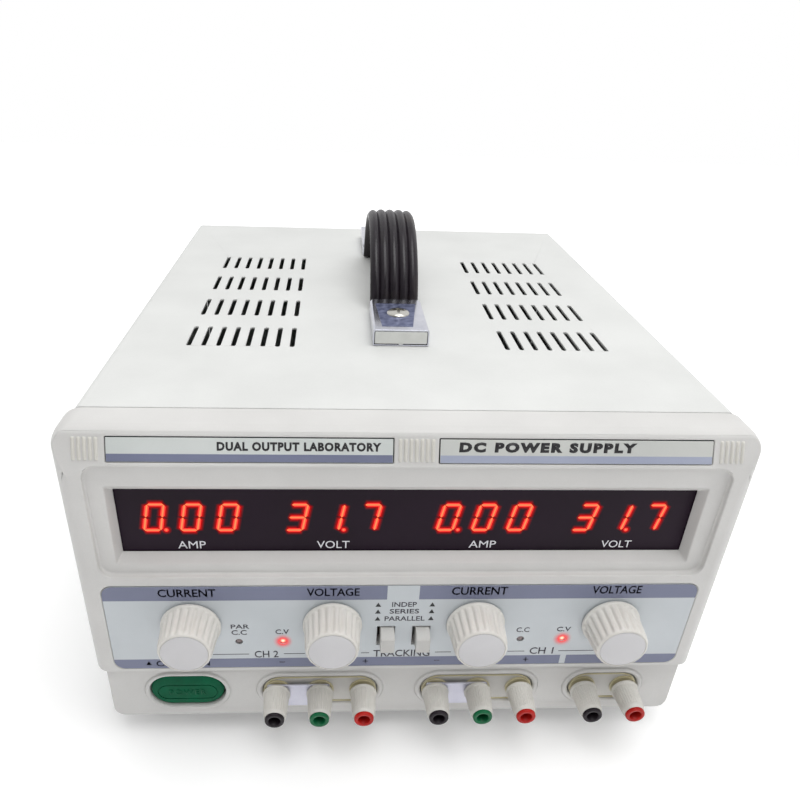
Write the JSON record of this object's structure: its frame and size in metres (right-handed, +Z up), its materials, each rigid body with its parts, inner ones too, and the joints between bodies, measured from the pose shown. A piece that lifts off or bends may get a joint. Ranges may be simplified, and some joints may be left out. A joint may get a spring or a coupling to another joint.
{
  "type": "bench power supply",
  "caption": "Bench power supply: folded steel case with vent slots, lit digit display, control knobs, binding posts, rear heat sinks and a bowed strap.",
  "frame": {"origin": "on the supporting surface, under the middle of the bounding box", "axes": "+Z up, -Y towards the person who reads the display, +X to their right"},
  "size_m": [0.265, 0.36, 0.2034],
  "materials": {
    "painted_steel": "satin powder coat, off-white",
    "zinc_steel": "zinc-plated sheet",
    "bezel_plastic": "satin moulded, warm light grey",
    "panel_print": "satin printed film, pale blue-grey",
    "dark_window": "smoked filter sheet",
    "strip_print": "printed strip with a slate band",
    "circuit_board": "green solder mask",
    "cream_plastic": "satin moulded, cream",
    "black_plastic": "satin moulded",
    "green_button": "semi-gloss moulded, dark green",
    "terminal_plastic": "satin moulded, yellowed cream",
    "nickel": "bright nickel plate",
    "strap_rubber": "satin ribbed strap, brown-black",
    "chrome": "bright plate",
    "black_aluminium": "black anodised extrusion",
    "foot_rubber": "matte",
    "lamp_lit": "diffused lens, lit red",
    "lamp_dark": "diffused lens, unlit",
    "core_steel": "varnished laminations and winding"
  },
  "bodies": {
    "case": {"cover": "painted_steel", "chassis_tray": "zinc_steel", "rear_panel": "painted_steel", "bezel": "bezel_plastic", "control_label": "panel_print", "display_window": "dark_window", "display_board": "circuit_board", "name_strip_left": "strip_print", "name_strip_right": "strip_print", "control_board": "circuit_board", "tracking_switch": "black_plastic", "power_switch": "black_plastic", "terminal_board": "terminal_plastic", "post_link_1": "nickel", "post_link_2": "nickel", "handle_strap": "strap_rubber", "handle_cap_front": "chrome", "handle_cap_rear": "chrome", "handle_screw_front": "nickel", "handle_screw_rear": "nickel", "heatsink_left": "black_aluminium", "heatsink_right": "black_aluminium", "fan_frame": "black_plastic", "fan_guard": "chrome", "mains_inlet": "black_plastic", "transformer": "core_steel", "main_board": "circuit_board", "foot_front_left": "foot_rubber", "foot_front_right": "foot_rubber", "foot_rear_left": "foot_rubber", "foot_rear_right": "foot_rubber", "lamp_cc_left": "lamp_dark", "lamp_cv_left": "lamp_lit", "lamp_cc_right": "lamp_dark", "lamp_cv_right": "lamp_lit", "post_stud_1_black": "nickel", "post_stud_1_green": "nickel", "post_stud_1_red": "nickel", "post_stud_2_black": "nickel", "post_stud_2_green": "nickel", "post_stud_2_red": "nickel", "post_stud_3_black": "nickel", "post_stud_3_red": "nickel"},
    "tracking_button_left_body": {"tracking_button_left": "cream_plastic"},
    "tracking_button_right_body": {"tracking_button_right": "cream_plastic"},
    "power_button_body": {"power_button": "green_button"},
    "fan_rotor_body": {"fan_rotor": "black_plastic"},
    "fuse_drawer_body": {"fuse_drawer": "black_plastic"},
    "knob_current_left_body": {"knob_current_left": "cream_plastic"},
    "knob_voltage_left_body": {"knob_voltage_left": "cream_plastic"},
    "knob_current_right_body": {"knob_current_right": "cream_plastic"},
    "knob_voltage_right_body": {"knob_voltage_right": "cream_plastic"},
    "post_cap_1_black_body": {"post_cap_1_black": "cream_plastic"},
    "post_cap_1_green_body": {"post_cap_1_green": "cream_plastic"},
    "post_cap_1_red_body": {"post_cap_1_red": "cream_plastic"},
    "post_cap_2_black_body": {"post_cap_2_black": "cream_plastic"},
    "post_cap_2_green_body": {"post_cap_2_green": "cream_plastic"},
    "post_cap_2_red_body": {"post_cap_2_red": "cream_plastic"},
    "post_cap_3_black_body": {"post_cap_3_black": "cream_plastic"},
    "post_cap_3_red_body": {"post_cap_3_red": "cream_plastic"}
  },
  "joints": [
    {"name": "knob_current_left_turn", "type": "hinge", "parent": "case", "child": "knob_current_left_body", "pos_m": [-0.0874, -0.165, 0.0735], "axis": [0, 1, 0], "range_deg": [-150, 150]},
    {"name": "knob_voltage_left_turn", "type": "hinge", "parent": "case", "child": "knob_voltage_left_body", "pos_m": [-0.0298, -0.165, 0.0735], "axis": [0, 1, 0], "range_deg": [-150, 150]},
    {"name": "knob_current_right_turn", "type": "hinge", "parent": "case", "child": "knob_current_right_body", "pos_m": [0.0298, -0.165, 0.0735], "axis": [0, 1, 0], "range_deg": [-150, 150]},
    {"name": "knob_voltage_right_turn", "type": "hinge", "parent": "case", "child": "knob_voltage_right_body", "pos_m": [0.0874, -0.165, 0.0735], "axis": [0, 1, 0], "range_deg": [-150, 150]},
    {"name": "power_button_release", "type": "slide", "parent": "case", "child": "power_button_body", "axis": [0, -1, 0], "range_m": [0, 0.003]},
    {"name": "tracking_button_left_push", "type": "slide", "parent": "case", "child": "tracking_button_left_body", "axis": [0, 1, 0], "range_m": [0, 0.003], "stiffness_N_per_m": 250},
    {"name": "tracking_button_right_push", "type": "slide", "parent": "case", "child": "tracking_button_right_body", "axis": [0, 1, 0], "range_m": [0, 0.003], "stiffness_N_per_m": 250},
    {"name": "post_cap_1_black_unscrew", "type": "hinge", "parent": "case", "child": "post_cap_1_black_body", "pos_m": [-0.05395, -0.17, 0.03], "axis": [0, 1, 0], "range_deg": [0, 720]},
    {"name": "post_cap_1_green_unscrew", "type": "hinge", "parent": "case", "child": "post_cap_1_green_body", "pos_m": [-0.0349, -0.17, 0.03], "axis": [0, 1, 0], "range_deg": [0, 720]},
    {"name": "post_cap_1_red_unscrew", "type": "hinge", "parent": "case", "child": "post_cap_1_red_body", "pos_m": [-0.01585, -0.17, 0.03], "axis": [0, 1, 0], "range_deg": [0, 720]},
    {"name": "post_cap_2_black_unscrew", "type": "hinge", "parent": "case", "child": "post_cap_2_black_body", "pos_m": [0.01645, -0.17, 0.03], "axis": [0, 1, 0], "range_deg": [0, 720]},
    {"name": "post_cap_2_green_unscrew", "type": "hinge", "parent": "case", "child": "post_cap_2_green_body", "pos_m": [0.0355, -0.17, 0.03], "axis": [0, 1, 0], "range_deg": [0, 720]},
    {"name": "post_cap_2_red_unscrew", "type": "hinge", "parent": "case", "child": "post_cap_2_red_body", "pos_m": [0.05455, -0.17, 0.03], "axis": [0, 1, 0], "range_deg": [0, 720]},
    {"name": "post_cap_3_black_unscrew", "type": "hinge", "parent": "case", "child": "post_cap_3_black_body", "pos_m": [0.08397, -0.17, 0.03], "axis": [0, 1, 0], "range_deg": [0, 720]},
    {"name": "post_cap_3_red_unscrew", "type": "hinge", "parent": "case", "child": "post_cap_3_red_body", "pos_m": [0.10303, -0.17, 0.03], "axis": [0, 1, 0], "range_deg": [0, 720]},
    {"name": "fan_spin", "type": "hinge", "parent": "case", "child": "fan_rotor_body", "pos_m": [0, 0.1, 0.112], "axis": [0, 1, 0], "continuous": true},
    {"name": "fuse_drawer_pull", "type": "slide", "parent": "case", "child": "fuse_drawer_body", "axis": [0, 1, 0], "range_m": [0, 0.014]}
  ]
}
